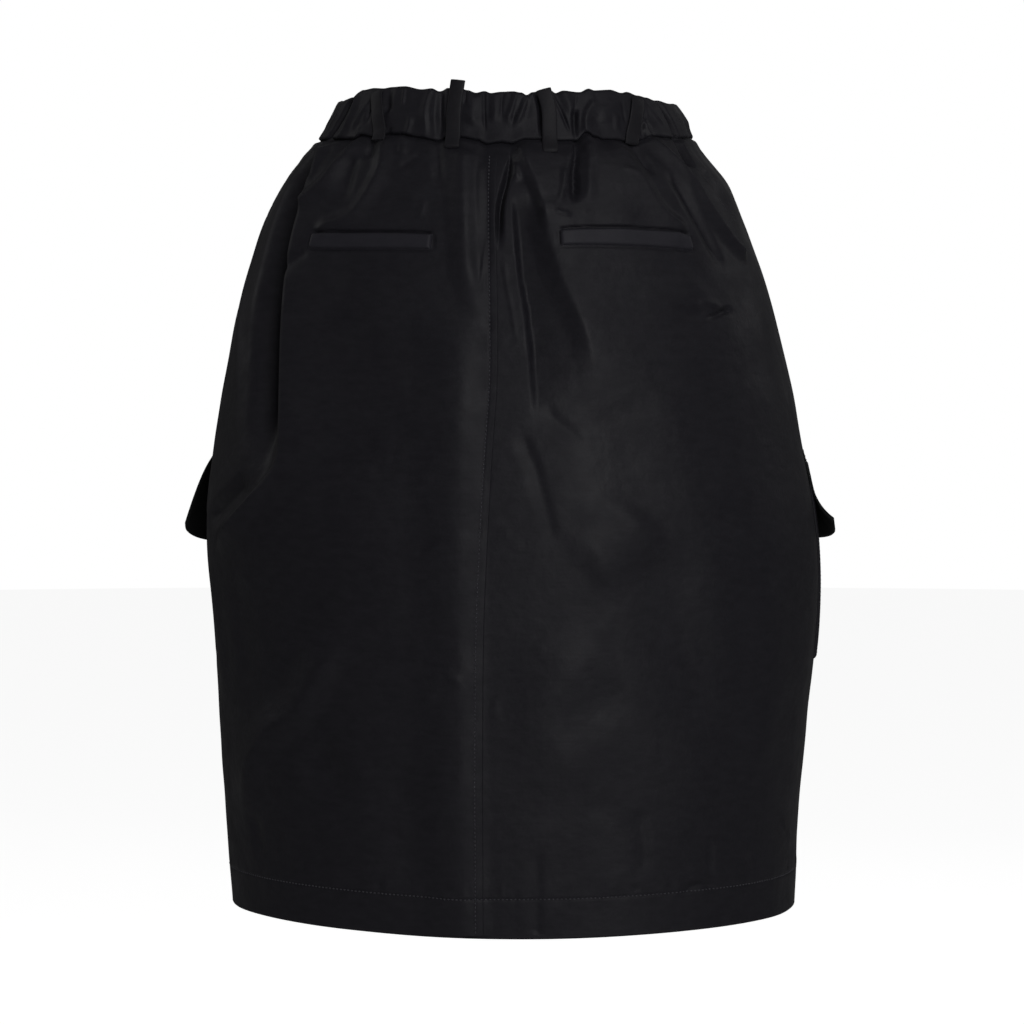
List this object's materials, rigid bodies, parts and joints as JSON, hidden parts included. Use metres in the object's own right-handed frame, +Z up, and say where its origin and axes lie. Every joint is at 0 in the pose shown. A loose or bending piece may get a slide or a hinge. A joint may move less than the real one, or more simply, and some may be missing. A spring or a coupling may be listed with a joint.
{
  "type": "balloon skirt",
  "caption": "Black knee-length balloon skirt with an elastic waistband, belt loops, back welt pockets and side cargo pockets, filled out as worn and hollow inside.",
  "frame": {"origin": "centre of the waistband at half its height, where the wearer holds the skirt", "axes": "+Z up along the body, -Y out of the skirt's back, +Y out of its front, +X towards the wearer's right"},
  "size_m": [0.4769, 0.3025, 0.5874],
  "materials": {
    "shell": "soft satin, smooth black taffeta",
    "waistband": "soft satin, gathered over elastic",
    "welt": "soft satin, pressed strip",
    "pocket": "soft satin",
    "flap": "matt, stiffened black cloth",
    "loop": "soft satin, folded strip"
  },
  "bodies": {
    "root": {"waistband_back": "waistband", "waistband_front": "waistband", "back_left": "shell", "back_right": "shell", "front": "shell", "welt_left": "welt", "welt_right": "welt", "pocket_left": "pocket", "pocket_right": "pocket", "flap_left": "flap", "flap_right": "flap", "loop_back_left": "loop", "loop_centre_left": "loop", "loop_centre_right": "loop", "loop_back_right": "loop", "loop_front_left": "loop", "loop_front_right": "loop"}
  },
  "joints": []
}
